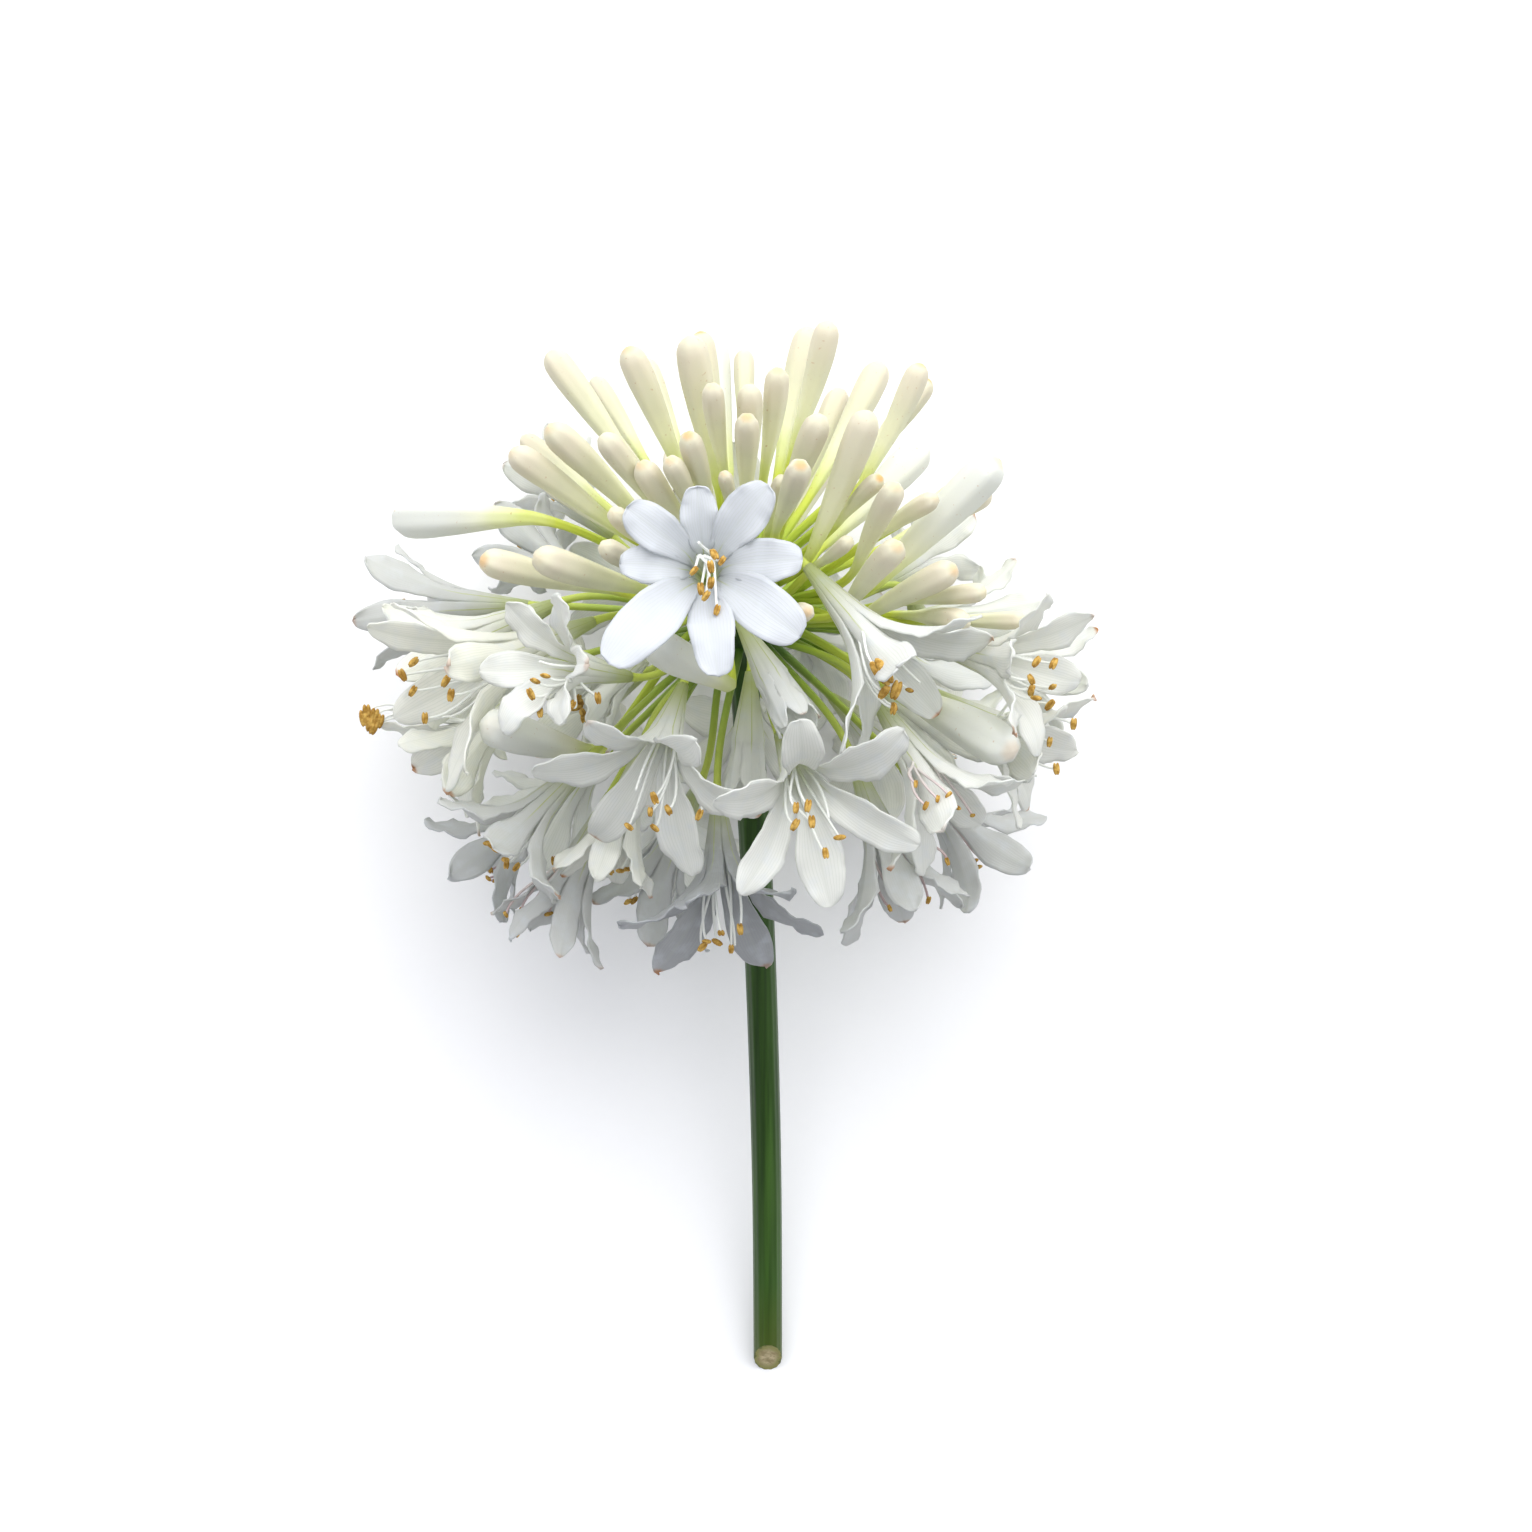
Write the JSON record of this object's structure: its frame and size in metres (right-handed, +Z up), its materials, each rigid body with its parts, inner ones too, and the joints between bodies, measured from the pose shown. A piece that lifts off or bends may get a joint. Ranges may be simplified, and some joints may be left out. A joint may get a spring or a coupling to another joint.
{
  "type": "agapanthus flower head",
  "caption": "Round umbel of white trumpet florets and cream buds on thin stalks at the top of a straight, cut green stem, lying on its side.",
  "frame": {"origin": "on the surface it lies on, under the middle of the box round the whole flower head and stem", "axes": "+Y runs along the stem from the cut end toward the buds, +X is to the right seen from above, +Z is up, the side of the bloom that faces the viewer"},
  "size_m": [0.1996, 0.2958, 0.1705],
  "materials": {
    "petal_white": "satin",
    "bud_cream": "satin",
    "stem_green": "satin"
  },
  "bodies": {
    "root": {"scape": "stem_green", "floret_front": "petal_white", "floret_spout": "petal_white", "floret_hanging": "petal_white", "floret_low_star": "petal_white", "floret_low_bell": "petal_white", "floret_left_face": "petal_white", "floret_left_long": "petal_white", "floret_left_over": "petal_white", "floret_left_back": "petal_white", "floret_left_low": "petal_white", "floret_left_under": "petal_white", "floret_low_left": "petal_white", "floret_left_fold": "petal_white", "floret_right_mid": "petal_white", "floret_low_right": "petal_white", "floret_right_low": "petal_white", "floret_right_end": "petal_white", "floret_right_face": "petal_white", "floret_right_back": "petal_white", "floret_far_left": "petal_white", "floret_left_up": "petal_white", "floret_right_under": "petal_white", "floret_far_right": "petal_white", "floret_left_mid": "petal_white", "floret_right_fan": "petal_white", "floret_low_behind": "petal_white", "floret_right_fill": "petal_white", "floret_left_fill": "petal_white", "floret_twisting": "petal_white", "floret_narrow": "petal_white", "floret_far_01": "petal_white", "floret_far_02": "petal_white", "floret_far_03": "petal_white", "floret_far_04": "petal_white", "floret_far_05": "petal_white", "floret_far_06": "petal_white", "floret_far_07": "petal_white", "floret_far_08": "petal_white", "floret_far_09": "petal_white", "floret_far_10": "petal_white", "floret_far_11": "petal_white", "buds_01": "bud_cream", "buds_02": "bud_cream", "buds_03": "bud_cream", "buds_04": "bud_cream", "buds_05": "bud_cream", "buds_06": "bud_cream", "buds_07": "bud_cream", "buds_08": "bud_cream", "buds_09": "bud_cream", "buds_10": "bud_cream", "buds_11": "bud_cream", "buds_12": "bud_cream", "buds_13": "bud_cream", "buds_14": "bud_cream", "buds_15": "bud_cream", "buds_16": "bud_cream", "buds_17": "bud_cream"}
  },
  "joints": []
}
